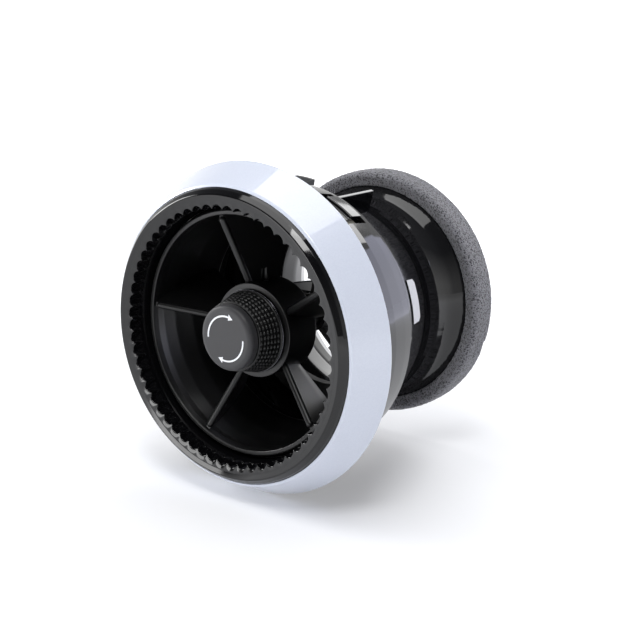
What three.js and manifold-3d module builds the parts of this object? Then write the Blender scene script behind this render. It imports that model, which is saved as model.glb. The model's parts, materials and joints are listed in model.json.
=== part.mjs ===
// Round swivelling air outlet for a car dashboard.
// Millimetres, +Z up. The outlet's axis is Y: the face looks along -Y, the duct runs along +Y.
// The origin is the centre of the face, in the plane where the bezel meets the trim ring.
// Outlines are given as [radius, depth] pairs about the Y axis, depth being the Y value.

import * as THREE from 'three';
import { mergeVertices } from 'three/addons/utils/BufferGeometryUtils.js';
import Module from 'manifold-3d';

const wasm = await Module();
wasm.setup();

// ---------------------------------------------------------------- driving dimensions

const FACE_RADIUS = 50;          // where the black bezel meets the trim ring
const TRIM_REAR_RADIUS = 57.1;
const TRIM_DEPTH = 13.2;
const HOUSING_LIP_DEPTH = 39.2;
const DUCT_END_DEPTH = 90.5;

const SWIVEL_DEPTH = 20;         // centre of the ball that the nozzle swivels about
const BALL_RADIUS = 44;
const SEAT_RADIUS = 44.4;        // the spherical seats round the ball
const GAP = 0.3;                 // between pieces that rest on each other

const SPOKES = 5;
const FIRST_SPOKE = 102;         // degrees from +X towards +Z
const VANE_TWIST = -14;          // degrees from the front edge to the rear edge
const VANE_THICKNESS = 1.6;
const SPOKE_RADIUS = 1.25;
const HUB_RADIUS = 16.2;
const HUB_WALL = 1.9;
const HUB_FRONT = 12.8;
const HUB_REAR = 27;

const FLUTES = 60;
const FLUTE_HEIGHT = 0.5;        // each way from the mean wall

const TOP_ANGLE = 7;             // the side that faces up once the outlet is installed
const WINDOW_ANGLES = [54, -54, 126, -126].map((offset) => TOP_ANGLE + offset);
const WINDOW_HALF_WIDTH = 10.2;
const ARM_HALF_WIDTH = 7;        // of the retainer's arm in a window
const CLIP_ANGLES = [78, -78, 150, -150].map((offset) => TOP_ANGLE + offset);
const CLIP_HALF_WIDTH = 5;
const RIB_ANGLE = 69.5;
const RIB_SIDE = 1.3;
const RIB_THICKNESS = 1.4;
const LABEL_ANGLE = 13;
const LABEL_HALF_WIDTH = 10;
const FOAM_JOINT_ANGLE = -17;

const HINGE_DEPTH = 57.5;        // axis of the two shutter flaps
const FLAP_RADIUS = 28;
const FLAP_SEAL_RADIUS = 29.3;
const FLAP_OFFSET = 1.3;         // from the hinge plane to the near face of a flap
const FLAP_THICKNESS = 1.4;
const FLAP_START = 3.4;          // from the hinge axis to the plate's straight edge
const ROD_RADIUS = 1.5;
const HINGE_BORE = 1.8;          // hole round the hinge rod
const KNUCKLE_RADIUS = 2.9;

const GEAR_RADIUS = 6;           // pitch radius of the mitre gears at their large end
const GEAR_TEETH = 12;
const TOOTH_PITCH = 360 / GEAR_TEETH;

const ROUND = 36;                // sides of a large ring
const SMALL_ROUND = 16;          // sides of a small turned piece
const KNOB_ROUND = 24;           // sides of the knob's pieces
const PIN_ROUND = 8;             // sides of a pin and of its hole
const PIN_RADIUS = 1.2;
const PIN_HOLE_RADIUS = 1.45;

// ---------------------------------------------------------------- materials

function finish(color, roughness, metalness = 0) {
  return new THREE.MeshStandardMaterial({ color, roughness, metalness });
}

const pearlPaint = finish(0xdce2f2, 0.15);
const glossBlack = finish(0x0b0b0d, 0.08);
const mattBlack = finish(0x1a1a1c, 0.5);
const satinBlack = finish(0x161618, 0.35);
const capGrey = finish(0x55555a, 0.55);
const sleeveRubber = finish(0x1d1d1f, 0.7);
const foam = finish(0x4a4a4d, 1);
const labelPaper = finish(0xf2f2f0, 0.6);
const whiteInk = finish(0xf5f7fa, 0.5);
const greyFelt = finish(0x3c3c3e, 1);
const naturalAcetal = finish(0xe6e2d8, 0.4);
const blackAcetal = finish(0x202022, 0.35);
const sealRubber = finish(0x2a2a2c, 0.8);
const steel = finish(0xb8bcc2, 0.3, 1);
const brass = finish(0xc9a24d, 0.3, 1);
const brightRing = finish(0x9a9aa0, 0.3, 0.6);

// ---------------------------------------------------------------- geometry helpers

const radians = THREE.MathUtils.degToRad;

// Joins shared corners, drops empty triangles and turns the faces outwards.
function closed(geometry) {
  const bare = geometry.clone();
  bare.deleteAttribute('normal');
  bare.deleteAttribute('uv');
  const merged = mergeVertices(bare, 1e-4);
  const position = merged.getAttribute('position');
  const source = merged.getIndex().array;
  const kept = [];
  let volume = 0;
  const a = new THREE.Vector3();
  const b = new THREE.Vector3();
  const c = new THREE.Vector3();
  for (let i = 0; i < source.length; i += 3) {
    const [p, q, r] = [source[i], source[i + 1], source[i + 2]];
    if (p === q || q === r || r === p) continue;
    kept.push(p, q, r);
    a.fromBufferAttribute(position, p);
    b.fromBufferAttribute(position, q);
    c.fromBufferAttribute(position, r);
    volume += a.dot(b.cross(c));
  }
  if (volume < 0) {
    for (let i = 0; i < kept.length; i += 3) {
      [kept[i + 1], kept[i + 2]] = [kept[i + 2], kept[i + 1]];
    }
  }
  merged.setIndex(kept);
  return merged;
}

function solid(geometry) {
  const shape = closed(geometry);
  return new wasm.Manifold(new wasm.Mesh({
    numProp: 3,
    vertProperties: Float32Array.from(shape.getAttribute('position').array),
    triVerts: Uint32Array.from(shape.getIndex().array),
  }));
}

function meshGeometry(body) {
  const result = body.getMesh();
  const corners = Float32Array.from(result.vertProperties);
  const geometry = new THREE.BufferGeometry();
  geometry.setAttribute('position', new THREE.BufferAttribute(corners, 3));
  geometry.setIndex(Array.from(result.triVerts));
  return geometry;
}

// A ring or a turned piece from a closed outline of [radius, depth] points.
function turned(outline, sides = ROUND) {
  const points = outline.map(([radius, depth]) => new THREE.Vector2(radius, depth));
  if (outline[0][0] > 0) points.push(points[0].clone());
  return solid(new THREE.LatheGeometry(points, sides));
}

function tube(inner, outer, front, rear, sides = SMALL_ROUND) {
  return turned([[inner, front], [outer, front], [outer, rear], [inner, rear]], sides);
}

function rod(radius, front, rear) {
  return turned([[0, front], [radius, front], [radius, rear], [0, rear]], SMALL_ROUND);
}

// Box from its low corner to its high corner.
function block(low, high) {
  const size = high.map((value, i) => value - low[i]);
  const geometry = new THREE.BoxGeometry(...size);
  geometry.translate(...low.map((value, i) => value + size[i] / 2));
  return solid(geometry);
}

// Turns a shape about the Y axis so that what lay on +X lies at the given angle towards +Z.
function swing(shape, angle) {
  return shape.rotate([0, -angle, 0]);
}

// A pie slice about the Y axis, centred on an angle, that reaches past every piece.
function slice(angle, halfWidth, front, rear) {
  const reach = 80;
  const side = reach * Math.tan(radians(halfWidth));
  const shape = new THREE.Shape();
  shape.moveTo(0, 0);
  shape.lineTo(reach, -side);
  shape.lineTo(reach, side);
  const geometry = new THREE.ExtrudeGeometry(shape, { depth: rear - front, bevelEnabled: false });
  geometry.rotateX(Math.PI / 2);
  geometry.translate(0, rear, 0);
  return swing(solid(geometry), angle);
}

// A flat plate cut from a drawing in the (radius, depth) plane, centred on z = 0.
function webPlate(outline, thickness) {
  const shape = new THREE.Shape(outline.map(([x, y]) => new THREE.Vector2(x, y)));
  const geometry = new THREE.ExtrudeGeometry(shape, { depth: thickness, bevelEnabled: false });
  geometry.translate(0, 0, -thickness / 2);
  return solid(geometry);
}

// A round pin along X or Z through the swivel centre, between two distances from the centre.
function crossPin(axis, from, to, radius) {
  const geometry = new THREE.CylinderGeometry(radius, radius, to - from, PIN_ROUND);
  geometry.translate(0, (from + to) / 2, 0);
  if (axis === 'x') geometry.rotateZ(-Math.PI / 2);
  if (axis === 'z') geometry.rotateX(Math.PI / 2);
  geometry.translate(0, SWIVEL_DEPTH, 0);
  return solid(geometry);
}

// Distance from the axis of a point at a depth on a sphere about the swivel centre.
function onBall(depth, radius) {
  return Math.sqrt(radius ** 2 - (depth - SWIVEL_DEPTH) ** 2);
}

// ---------------------------------------------------------------- the assembly

const outlet = new THREE.Group();

function add(name, shape, material) {
  const mesh = new THREE.Mesh(meshGeometry(shape), material);
  mesh.name = name;
  outlet.add(mesh);
}

// ---------------------------------------------------------------- face

function trimRing() {
  const inner = FACE_RADIUS + GAP;
  return turned([
    [inner, -0.3],
    [FACE_RADIUS + 1, 0.5],
    [TRIM_REAR_RADIUS, TRIM_DEPTH - 0.5],
    [TRIM_REAR_RADIUS - 0.4, TRIM_DEPTH],
    [TRIM_REAR_RADIUS - 2, TRIM_DEPTH],
    [inner, 4],
  ]);
}

function frontBezel() {
  return turned([
    [FACE_RADIUS, 7.5],
    [FACE_RADIUS, 0],
    [49.7, -1.3],
    [49.1, -2.4],
    [48.2, -3],
    [46.3, -2.7],
    [46.3, -1.3],
    [48, -1.1],
    [48.5, 7.5],
  ]);
}

// The inner wall of the face, with flutes that fade out towards the throat.
function flutedRing() {
  const outline = [
    { radius: 46, depth: -2.6, flute: 0 },
    { radius: 45, depth: -2.2, flute: FLUTE_HEIGHT },
    { radius: 44.3, depth: 0.8, flute: FLUTE_HEIGHT },
    { radius: 43.5, depth: 4.2, flute: 0 },
    { radius: 43, depth: 8.4, flute: 0 },
    { radius: 46, depth: 8.4, flute: 0 },
  ];
  const points = outline.map(({ radius, depth }) => new THREE.Vector2(radius, depth));
  points.push(points[0].clone());
  const geometry = new THREE.LatheGeometry(points, 2 * FLUTES);
  const position = geometry.getAttribute('position');
  const perColumn = points.length;
  for (let i = 0; i < position.count; i += 1) {
    const column = Math.floor(i / perColumn);
    const { radius, flute } = outline[(i % perColumn) % outline.length];
    const sign = column % 2 === 0 ? 1 : -1;
    const scale = (radius + sign * flute) / radius;
    position.setX(i, position.getX(i) * scale);
    position.setZ(i, position.getZ(i) * scale);
  }
  return solid(geometry);
}

// The front half of the ball seat, with four arms that snap into the housing's windows.
function ballRetainer() {
  const seat = turned([
    [onBall(9.2, SEAT_RADIUS), 9.2],
    [onBall(12, SEAT_RADIUS), 12],
    [onBall(15, SEAT_RADIUS), 15],
    [47.9, 15],
    [47.9, 9.2],
  ]);
  const armRing = turned([
    [46.4, 14],
    [47.9, 14],
    [47.9, 26],
    [47.6, 31],
    [48.6, 33],
    [48.6, 34.8],
    [46.4, 34.8],
  ]);
  let body = seat;
  for (const angle of WINDOW_ANGLES) {
    body = body.add(armRing.intersect(slice(angle, ARM_HALF_WIDTH, 10, 40)));
  }
  return body;
}

// ---------------------------------------------------------------- housing

function outletHousing() {
  let body = turned([
    [48.2, 8.2],
    [50, 8.2],
    [50, 14],
    [49.8, 20],
    [48.9, 27],
    [47.7, 34],
    [46.9, 38.2],
    [46.2, HOUSING_LIP_DEPTH],
    [44.4, HOUSING_LIP_DEPTH],
    [44.3, 35.5],
    [46.3, 33.5],
    [46.3, 24.5],
    [48.2, 24.5],
  ]);
  const window = tube(45, 55, 24.2, 36, ROUND);
  for (const angle of WINDOW_ANGLES) {
    body = body.subtract(window.intersect(slice(angle, WINDOW_HALF_WIDTH, 20, 40)));
  }
  return body;
}

function rearSocketRing() {
  return turned([
    [onBall(25.3, SEAT_RADIUS), 25.3],
    [onBall(29.2, SEAT_RADIUS), 29.2],
    [onBall(33, SEAT_RADIUS), 33],
    [46, 33],
    [46, 25.3],
  ]);
}

function feltRing() {
  return turned([
    [SEAT_RADIUS + 0.05, 22.6],
    [46, 22.6],
    [46, 25],
    [SEAT_RADIUS - 0.1, 25],
  ]);
}

// A wedge on the housing that springs out behind the dashboard panel.
function retentionClip(angle) {
  const ring = turned([
    [48.85, 29.5],
    [50.6, 35.4],
    [50.6, 36.4],
    [47.65, 36.4],
  ]);
  return ring.intersect(slice(angle, CLIP_HALF_WIDTH, 25, 40));
}

// ---------------------------------------------------------------- duct

const DUCT_OUTSIDE = [
  [43.9, 33.5], [43.9, 40.5], [43.2, 44], [38.6, 59.6], [37.8, 60.6],
  [36, 62.2], [34.7, 68], [35, 76], [37.3, 83.3], [41.5, DUCT_END_DEPTH],
];
const DUCT_INSIDE = [
  [39.9, DUCT_END_DEPTH], [35.6, 83.3], [33, 76], [32.7, 68],
  [34.4, 61.4], [36.6, 58.4], [41.2, 43.5], [42.1, 33.5],
];

function rearDuct() {
  const shell = turned([...DUCT_OUTSIDE, ...DUCT_INSIDE]);
  const rib = block([37, HOUSING_LIP_DEPTH + 0.4, RIB_SIDE], [45, 63, RIB_SIDE + RIB_THICKNESS]);
  const bore = turned([
    [0, 33], [41.9, 33], [40.9, 43.5], [36.4, 58.4], [34.2, 61.4], [33.5, 66],
    [0, 66],
  ]);
  return shell.add(swing(rib, RIB_ANGLE).subtract(bore));
}

// A paper strip laid on the duct's front cone.
function ductLabel() {
  const frontRadius = 42.91;
  const rearRadius = 41.33;
  const thickness = 0.25;
  const strip = turned([
    [frontRadius, 46],
    [frontRadius + thickness, 46],
    [rearRadius + thickness, 52],
    [rearRadius, 52],
  ]);
  return strip.intersect(slice(LABEL_ANGLE, LABEL_HALF_WIDTH, 40, 60));
}

// A foam strip wrapped round the flared end, with a butt joint between its ends.
function foamSeal() {
  const halfJoint = 0.3;
  const ring = turned([
    [37.75, 83.3],
    [44.7, 81],
    [46, 82.4],
    [46.4, 86],
    [46.3, 91.6],
    [45, 93.6],
    [42.7, 93.6],
    [42.1, 90.9],
  ]);
  const joint = block([30, 70, -halfJoint], [60, 100, halfJoint]);
  return ring.subtract(swing(joint, FOAM_JOINT_ANGLE));
}

// The ring the flaps close against, with the fixed tube that carries the drive shaft.
function valveSpider() {
  let body = tube(28, 37.4, 51.5, 54.5, ROUND);
  const strut = webPlate([[5, 45], [5, 48.6], [29.5, 54.4], [29.5, 51.6]], 2.6);
  for (let i = 0; i < SPOKES; i += 1) {
    const angle = FIRST_SPOKE + VANE_TWIST + (360 / SPOKES) * i;
    body = body.add(swing(strut, angle));
  }
  body = body.add(rod(6.8, 44, 49.5));
  body = body.add(rod(5.4, 29, 45));
  for (const side of [-1, 1]) {
    const ear = block([30.6, 53.5, -2.8], [34.4, HINGE_DEPTH + 2.6, 2.8]);
    body = body.add(side > 0 ? ear : ear.mirror([1, 0, 0]));
  }
  body = body.subtract(rod(3.25, 20, 52));
  return body.subtract(hingeBar(HINGE_BORE, 40));
}

// A bar along X on the flaps' hinge axis.
function hingeBar(radius, reach, from = -reach) {
  const geometry = new THREE.CylinderGeometry(radius, radius, reach - from, PIN_ROUND);
  geometry.rotateZ(Math.PI / 2);
  geometry.translate((reach + from) / 2, HINGE_DEPTH, 0);
  return solid(geometry);
}

// The fork that holds the gimbal ring, clamped on the spider's tube.
function fixedYoke() {
  const arm = webPlate([
    [6.4, 33], [6.4, 29.4], [10.9, 23.4], [10.9, 17.8], [12.4, 17.8], [12.4, 24.4], [7.2, 33],
  ], 4.4);
  let body = tube(5.7, 7.4, 29.4, 33);
  body = body.add(arm).add(arm.mirror([1, 0, 0]));
  body = body.subtract(rod(5.7, 28, 34));
  return body.subtract(crossPin('x', -14, 14, PIN_HOLE_RADIUS));
}

// ---------------------------------------------------------------- swivelling nozzle

function gimbalRing() {
  return tube(8.3, 10.5, 17.4, 22.6)
    .subtract(crossPin('x', -14, 14, PIN_HOLE_RADIUS))
    .subtract(crossPin('z', -14, 14, PIN_HOLE_RADIUS));
}

// From the rear rim to the front ring.
const BARREL_INSIDE = [
  [36.8, 38.4], [38.6, 33], [40.4, 26], [41.2, 18], [41, 12], [40.3, 7.3],
];

function nozzleBarrel() {
  return turned([
    [40.6, 6.2],
    [41.2, 5.9],
    [41.9, 6.6],
    [onBall(8.6, BALL_RADIUS), 8.6],
    [onBall(14, BALL_RADIUS), 14],
    [BALL_RADIUS, SWIVEL_DEPTH],
    [onBall(26, BALL_RADIUS), 26],
    [onBall(32, BALL_RADIUS), 32],
    [onBall(38.4, BALL_RADIUS), 38.4],
    ...BARREL_INSIDE,
  ]);
}

function barrelInsideRadius(depth) {
  const outline = [...BARREL_INSIDE].reverse();
  for (let i = 1; i < outline.length; i += 1) {
    const [r0, y0] = outline[i - 1];
    const [r1, y1] = outline[i];
    if (depth <= y1) return r0 + ((r1 - r0) * (depth - y0)) / (y1 - y0);
  }
  return outline[outline.length - 1][0];
}

// Depth of a spoke's centre line at a distance from the axis.
function spokeDepth(radius) {
  const atHub = 15.3;
  const atBarrel = 7.2;
  const share = (radius - HUB_RADIUS) / (40 - HUB_RADIUS);
  return atHub + (atBarrel - atHub) * share;
}

// Depth of a vane's rear edge at a distance from the axis.
function vaneRearDepth(radius) {
  const share = (radius - HUB_RADIUS) / (38 - HUB_RADIUS);
  return HUB_REAR - 0.6 + 7 * share;
}

// A thin blade that turns about the axis as it runs back from its spoke.
function vane() {
  const acrossSteps = 4;
  const alongSteps = 4;
  const positions = [];
  const at = (i, j, side) => {
    const along = j / alongSteps;
    const innerRadius = HUB_RADIUS - 1;
    const guess = spokeDepth(38) * (1 - along) + vaneRearDepth(38) * along;
    const outerRadius = barrelInsideRadius(guess) - 0.45;
    const radius = innerRadius + ((outerRadius - innerRadius) * i) / acrossSteps;
    const depth = spokeDepth(radius) * (1 - along) + vaneRearDepth(radius) * along;
    const angle = radians(VANE_TWIST * along) + (side * VANE_THICKNESS) / 2 / radius;
    return [radius * Math.cos(angle), depth, radius * Math.sin(angle)];
  };
  const quad = (a, b, c, d) => positions.push(...a, ...b, ...c, ...a, ...c, ...d);
  for (let i = 0; i < acrossSteps; i += 1) {
    for (let j = 0; j < alongSteps; j += 1) {
      quad(at(i, j, 1), at(i + 1, j, 1), at(i + 1, j + 1, 1), at(i, j + 1, 1));
      quad(at(i, j, -1), at(i, j + 1, -1), at(i + 1, j + 1, -1), at(i + 1, j, -1));
    }
  }
  const [tip, rear] = [acrossSteps, alongSteps];
  for (let i = 0; i < acrossSteps; i += 1) {
    quad(at(i, 0, -1), at(i + 1, 0, -1), at(i + 1, 0, 1), at(i, 0, 1));
    quad(at(i, rear, 1), at(i + 1, rear, 1), at(i + 1, rear, -1), at(i, rear, -1));
  }
  for (let j = 0; j < alongSteps; j += 1) {
    quad(at(0, j, 1), at(0, j + 1, 1), at(0, j + 1, -1), at(0, j, -1));
    quad(at(tip, j, -1), at(tip, j + 1, -1), at(tip, j + 1, 1), at(tip, j, 1));
  }
  const geometry = new THREE.BufferGeometry();
  geometry.setAttribute('position', new THREE.Float32BufferAttribute(positions, 3));
  return solid(geometry);
}

function spoke() {
  const inner = HUB_RADIUS - 1;
  const outer = 39.9;
  const run = outer - inner;
  const rise = spokeDepth(outer) - spokeDepth(inner);
  const length = Math.hypot(run, rise);
  const geometry = new THREE.CylinderGeometry(SPOKE_RADIUS, SPOKE_RADIUS, length, 8);
  geometry.rotateZ(Math.atan2(rise, run) - Math.PI / 2);
  geometry.translate((inner + outer) / 2, (spokeDepth(inner) + spokeDepth(outer)) / 2, 0);
  return solid(geometry);
}

// Hub, spokes and vanes, moulded in one piece.
function vaneWheel() {
  const bore = HUB_RADIUS - HUB_WALL;
  let body = turned([
    [4.3, HUB_FRONT],
    [HUB_RADIUS - 0.6, HUB_FRONT],
    [HUB_RADIUS, HUB_FRONT + 0.6],
    [HUB_RADIUS, HUB_REAR],
    [bore, HUB_REAR],
    [bore, 14],
    [4.3, 14],
  ]);
  const blade = vane().add(spoke());
  for (let i = 0; i < SPOKES; i += 1) {
    body = body.add(swing(blade, FIRST_SPOKE + (360 / SPOKES) * i));
  }
  body = body.subtract(rod(bore, 14, 40));
  return body.subtract(crossPin('z', -20, 20, PIN_HOLE_RADIUS));
}

// ---------------------------------------------------------------- knob and drive

function knobCore() {
  return turned([[2.5, 3], [9.8, 3], [12.4, 11.6], [2.5, 11.6]], KNOB_ROUND);
}

function knobSleeve() {
  return turned([[10.2, 3], [11.4, 2.9], [14.1, 11.5], [12.8, 11.6]], KNOB_ROUND);
}

function knobBaseRing() {
  return turned([
    [12.4, 11.9],
    [14.2, 11.8],
    [14.4, 12.1],
    [14.2, 12.4],
    [12.4, 12.4],
  ], KNOB_ROUND);
}

function knobCap() {
  return turned([
    [0, -0.8],
    [9.2, -0.8],
    [10.4, -0.45],
    [11.1, 0.3],
    [11.4, 1.4],
    [11.4, 2.5],
    [0, 2.5],
  ], KNOB_ROUND);
}

// One curved arrow, drawn clockwise as seen from the front.
function turnArrow(startAngle) {
  const radius = 7.6;
  const halfWidth = 0.33;
  const sweep = 118;
  const head = 2.2;
  const barb = 1.25;
  const start = radians(startAngle);
  const end = radians(startAngle - sweep);
  const shape = new THREE.Shape();
  shape.absarc(0, 0, radius + halfWidth, start, end, true);
  const along = new THREE.Vector2(Math.sin(end), -Math.cos(end));
  const out = new THREE.Vector2(Math.cos(end), Math.sin(end));
  const corner = (distance, ahead) => (
    out.clone().multiplyScalar(distance).addScaledVector(along, ahead)
  );
  const outerBarb = corner(radius + barb, 0);
  const tip = corner(radius - 0.2, head);
  const innerBarb = corner(radius - barb, 0);
  shape.lineTo(outerBarb.x, outerBarb.y);
  shape.lineTo(tip.x, tip.y);
  shape.lineTo(innerBarb.x, innerBarb.y);
  shape.absarc(0, 0, radius - halfWidth, end, start, false);
  const geometry = new THREE.ExtrudeGeometry(shape, {
    depth: 0.2, bevelEnabled: false, curveSegments: 9,
  });
  geometry.rotateX(Math.PI / 2);
  geometry.translate(0, -0.95, 0);
  return solid(geometry);
}

// The knob's spindle, with a cross-drilled ball at the swivel centre.
function knobSpindle() {
  const ballRadius = 3.4;
  const ball = new THREE.SphereGeometry(ballRadius, 12, 8);
  ball.translate(0, SWIVEL_DEPTH, 0);
  return rod(2.2, 3, SWIVEL_DEPTH).add(solid(ball)).subtract(crossPin('x', -6, 6, 1));
}

// A slotted cup that takes the ball's cross pin, and the shaft behind it.
function driveShaft() {
  const cup = turned([
    [3.8, 16.4],
    [6.2, 16.4],
    [6.2, 25.6],
    [0, 25.6],
    [0, 23.8],
    [3.8, 23.8],
  ].reverse(), SMALL_ROUND);
  const slot = block([-8, 15, -1.1], [8, 22.6, 1.1]);
  return cup.subtract(slot).add(rod(2.95, 25, 49.6)).add(rod(1.9, 49, 55));
}

// A mitre gear whose cone's tip is at the origin, opening towards -Y.
// Only the teeth that mesh are made, at the given angles.
function mitreGear(boreRadius, toothAngles) {
  const small = 0.62;            // size of the small end, against the large end
  const addendum = 0.62;
  const dedendum = 0.78;
  const backLength = 0.8;
  const rim = GEAR_RADIUS;
  const body = turned([
    [boreRadius, -(rim * small + dedendum * small)],
    [(rim - dedendum) * small, -(rim + dedendum) * small],
    [rim - dedendum, -(rim + dedendum)],
    [rim - dedendum - 1, -(rim + dedendum) - backLength],
    [boreRadius, -(rim + dedendum) - backLength],
  ], SMALL_ROUND);
  const pitch = (2 * Math.PI * rim) / GEAR_TEETH;
  const section = [
    { lift: -dedendum - 0.15, half: 0.3 * pitch },
    { lift: addendum, half: 0.115 * pitch },
  ];
  const corner = (row, side, scale) => {
    const radius = (rim + row.lift) * scale;
    return [radius, -(rim - row.lift) * scale, side * row.half * scale];
  };
  const corners = [1, small].flatMap((scale) => [
    corner(section[0], -1, scale), corner(section[0], 1, scale),
    corner(section[1], 1, scale), corner(section[1], -1, scale),
  ]);
  const faces = [
    [0, 1, 2, 3], [7, 6, 5, 4], [0, 4, 5, 1], [1, 5, 6, 2], [2, 6, 7, 3], [3, 7, 4, 0],
  ];
  const positions = faces.flatMap(([a, b, c, d]) => [a, b, c, a, c, d].flatMap((k) => corners[k]));
  const geometry = new THREE.BufferGeometry();
  geometry.setAttribute('position', new THREE.Float32BufferAttribute(positions, 3));
  const tooth = solid(geometry);
  let gear = body;
  for (const angle of toothAngles) {
    gear = gear.add(swing(tooth, angle));
  }
  return gear;
}

function bevelPinion() {
  const teeth = Array.from({ length: GEAR_TEETH }, (_, i) => TOOTH_PITCH * i);
  return mitreGear(2.2, teeth).translate([0, HINGE_DEPTH, 0]);
}

// A flap's gear: side is +1 for the gear on +X and -1 for the gear on -X.
function flapGear(side) {
  const firstTooth = side > 0 ? 2.5 : -3.5;
  const teeth = Array.from({ length: 6 }, (_, i) => TOOTH_PITCH * (firstTooth + i));
  const sleeve = tube(HINGE_BORE, KNUCKLE_RADIUS, -9.9, -7);
  const gear = mitreGear(HINGE_BORE, teeth).add(sleeve);
  return gear.rotate([0, 0, side * 90]).translate([0, HINGE_DEPTH, 0]);
}

// ---------------------------------------------------------------- shutter flaps

// Drawn as it lies when the shutter is open. side is +1 for the upper flap, -1 for the lower.
function flap(side) {
  const shape = new THREE.Shape();
  const startAngle = Math.asin(FLAP_START / FLAP_RADIUS);
  const notch = 10.2;
  shape.absarc(0, 0, FLAP_RADIUS, startAngle, Math.PI - startAngle, false);
  shape.lineTo(-notch, FLAP_START);
  shape.lineTo(-notch, 8.2);
  shape.lineTo(notch, 8.2);
  shape.lineTo(notch, FLAP_START);
  const geometry = new THREE.ExtrudeGeometry(shape, {
    depth: FLAP_THICKNESS, bevelEnabled: false, curveSegments: 14,
  });
  geometry.translate(0, HINGE_DEPTH, FLAP_OFFSET);
  let body = solid(geometry);
  const knuckles = [[notch, 15.6], [-26, -21]];
  for (const [from, to] of knuckles) {
    const low = [from, HINGE_DEPTH, FLAP_OFFSET];
    const high = [to, HINGE_DEPTH + 4, FLAP_OFFSET + FLAP_THICKNESS];
    body = body.add(hingeBar(KNUCKLE_RADIUS, to, from)).add(block(low, high));
  }
  body = body.subtract(hingeBar(HINGE_BORE, 30));
  return side > 0 ? body : body.rotate([0, 180, 0]);
}

// The soft lip round a flap's curved edge.
function flapSeal(side) {
  const inner = FLAP_RADIUS + 0.25;
  const outer = FLAP_SEAL_RADIUS;
  const start = Math.asin((FLAP_START + 0.4) / outer);
  const innerStart = Math.asin((FLAP_START + 0.4) / inner);
  const shape = new THREE.Shape();
  shape.absarc(0, 0, outer, start, Math.PI - start, false);
  shape.absarc(0, 0, inner, Math.PI - innerStart, innerStart, true);
  const geometry = new THREE.ExtrudeGeometry(shape, {
    depth: FLAP_THICKNESS + 0.4, bevelEnabled: false, curveSegments: 14,
  });
  geometry.translate(0, HINGE_DEPTH, FLAP_OFFSET - 0.2);
  const body = solid(geometry);
  return side > 0 ? body : body.rotate([0, 180, 0]);
}

// ---------------------------------------------------------------- nodes

add('trim_ring', trimRing(), pearlPaint);
add('front_bezel', frontBezel(), glossBlack);
add('fluted_ring', flutedRing(), glossBlack);
add('ball_retainer', ballRetainer(), mattBlack);
add('outlet_housing', outletHousing(), glossBlack);
add('rear_socket_ring', rearSocketRing(), naturalAcetal);
add('felt_ring', feltRing(), greyFelt);
CLIP_ANGLES.forEach((angle, i) => add(`retention_clip_${i + 1}`, retentionClip(angle), blackAcetal));
add('rear_duct', rearDuct(), glossBlack);
add('duct_label', ductLabel(), labelPaper);
add('foam_seal', foamSeal(), foam);
add('valve_spider', valveSpider(), mattBlack);
add('fixed_yoke', fixedYoke(), blackAcetal);
add('hinge_rod', hingeBar(ROD_RADIUS, 35), steel);

add('gimbal_ring', gimbalRing(), brass);
add('tilt_pin_right', crossPin('x', 8.6, 12.3, PIN_RADIUS), steel);
add('tilt_pin_left', crossPin('x', -12.3, -8.6, PIN_RADIUS), steel);

add('nozzle_barrel', nozzleBarrel(), satinBlack);
add('vane_wheel', vaneWheel(), satinBlack);
add('pan_pin_top', crossPin('z', 8.6, 15.9, PIN_RADIUS), steel);
add('pan_pin_bottom', crossPin('z', -15.9, -8.6, PIN_RADIUS), steel);
add('knob_bush', tube(2.5, 4, 12.2, 14.6), naturalAcetal);

add('knob_core', knobCore(), blackAcetal);
add('knob_sleeve', knobSleeve(), sleeveRubber);
add('knob_base_ring', knobBaseRing(), brightRing);
add('knob_cap', knobCap(), capGrey);
add('turn_arrow_upper', turnArrow(183), whiteInk);
add('turn_arrow_lower', turnArrow(3), whiteInk);
add('knob_spindle', knobSpindle(), steel);
add('drive_pin', crossPin('x', -5.4, 5.4, 0.75), steel);

add('drive_shaft', driveShaft(), blackAcetal);
add('shaft_clip', tube(3.2, 4.8, 27.2, 28), steel);
add('bevel_pinion', bevelPinion(), naturalAcetal);

add('upper_flap', flap(1), mattBlack);
add('upper_flap_gear', flapGear(1), naturalAcetal);
add('upper_flap_seal', flapSeal(1), sealRubber);
add('lower_flap', flap(-1), mattBlack);
add('lower_flap_gear', flapGear(-1), naturalAcetal);
add('lower_flap_seal', flapSeal(-1), sealRubber);

export default outlet;
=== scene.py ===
"""Round swivelling air outlet of a car dashboard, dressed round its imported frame.

Lengths are in millimetres until a mesh is made. The outlet's axis is Y, the face looks along -Y and
+Z is up. Outlines are [radius, depth] points about the Y axis, depth being the Y value. Angles about
the axis are in degrees, from +X towards +Z.
"""

import json
import math

import bmesh
import bpy
from mathutils import Matrix, Vector, noise


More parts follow.
